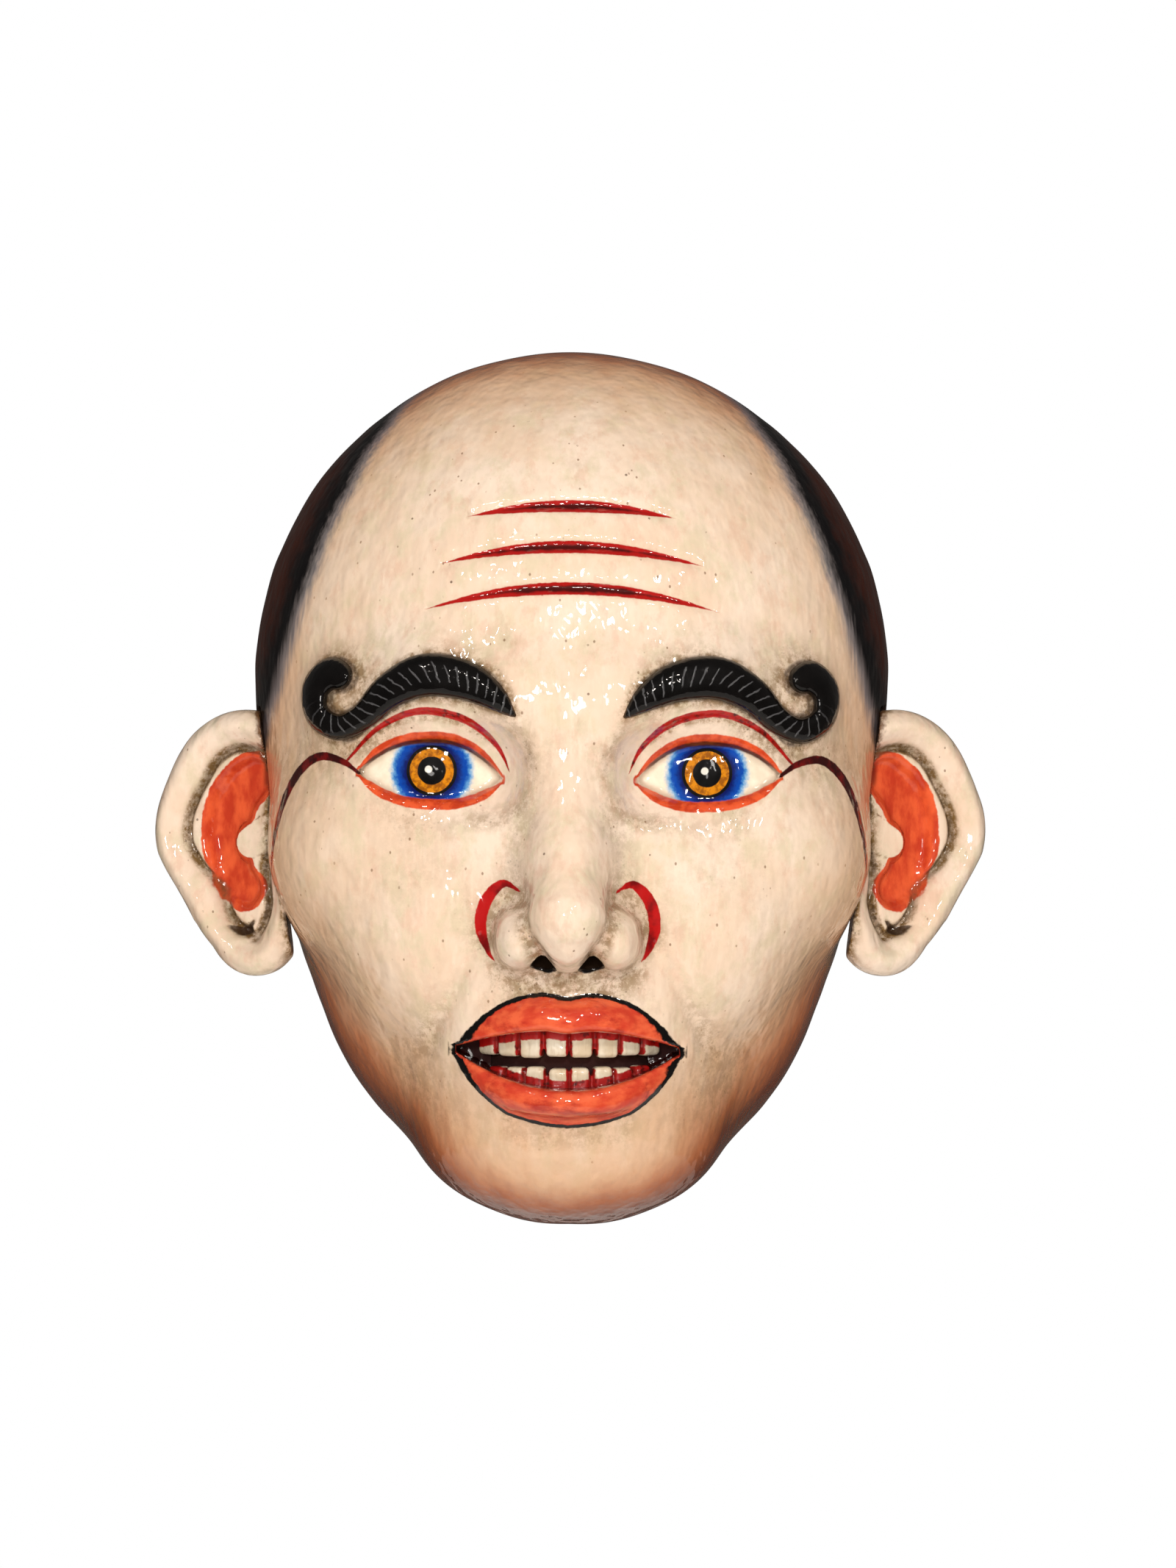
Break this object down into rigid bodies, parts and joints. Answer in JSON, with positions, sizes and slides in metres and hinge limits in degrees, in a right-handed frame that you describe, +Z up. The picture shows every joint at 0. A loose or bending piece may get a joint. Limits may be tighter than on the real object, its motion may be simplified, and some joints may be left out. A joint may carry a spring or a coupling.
{
  "type": "carved theatre mask",
  "caption": "Carved and lacquered wooden face mask with fitted ears, raised curled eyebrows, two rows of teeth, padding inside and a keyhole plate for hanging.",
  "frame": {"origin": "centre of the round opening of the keyhole plate, on the back plane of the mask", "axes": "+Z up towards the crown, -Y the way the face looks, +Y out of the back into the wall, +X the wearer's left"},
  "size_m": [0.2508, 0.112, 0.263],
  "materials": {
    "lacquered_wood": "cream lacquer over carved wood",
    "bamboo": "split bamboo, unpainted",
    "teeth": "ivory-coloured lacquer",
    "black_lacquer": "gloss black lacquer",
    "brass": "aged brass",
    "brass_screw": "aged brass",
    "padding": "padded cotton cloth"
  },
  "bodies": {
    "root": {"mask_shell": "lacquered_wood", "left_ear": "lacquered_wood", "right_ear": "lacquered_wood", "left_ear_dowels": "bamboo", "right_ear_dowels": "bamboo", "upper_teeth": "teeth", "lower_teeth": "teeth", "teeth_pins": "bamboo", "left_eyebrow": "black_lacquer", "right_eyebrow": "black_lacquer", "keyhole_plate": "brass", "plate_screws": "brass_screw", "forehead_pad": "padding", "left_cheek_pad": "padding", "right_cheek_pad": "padding"}
  },
  "joints": []
}
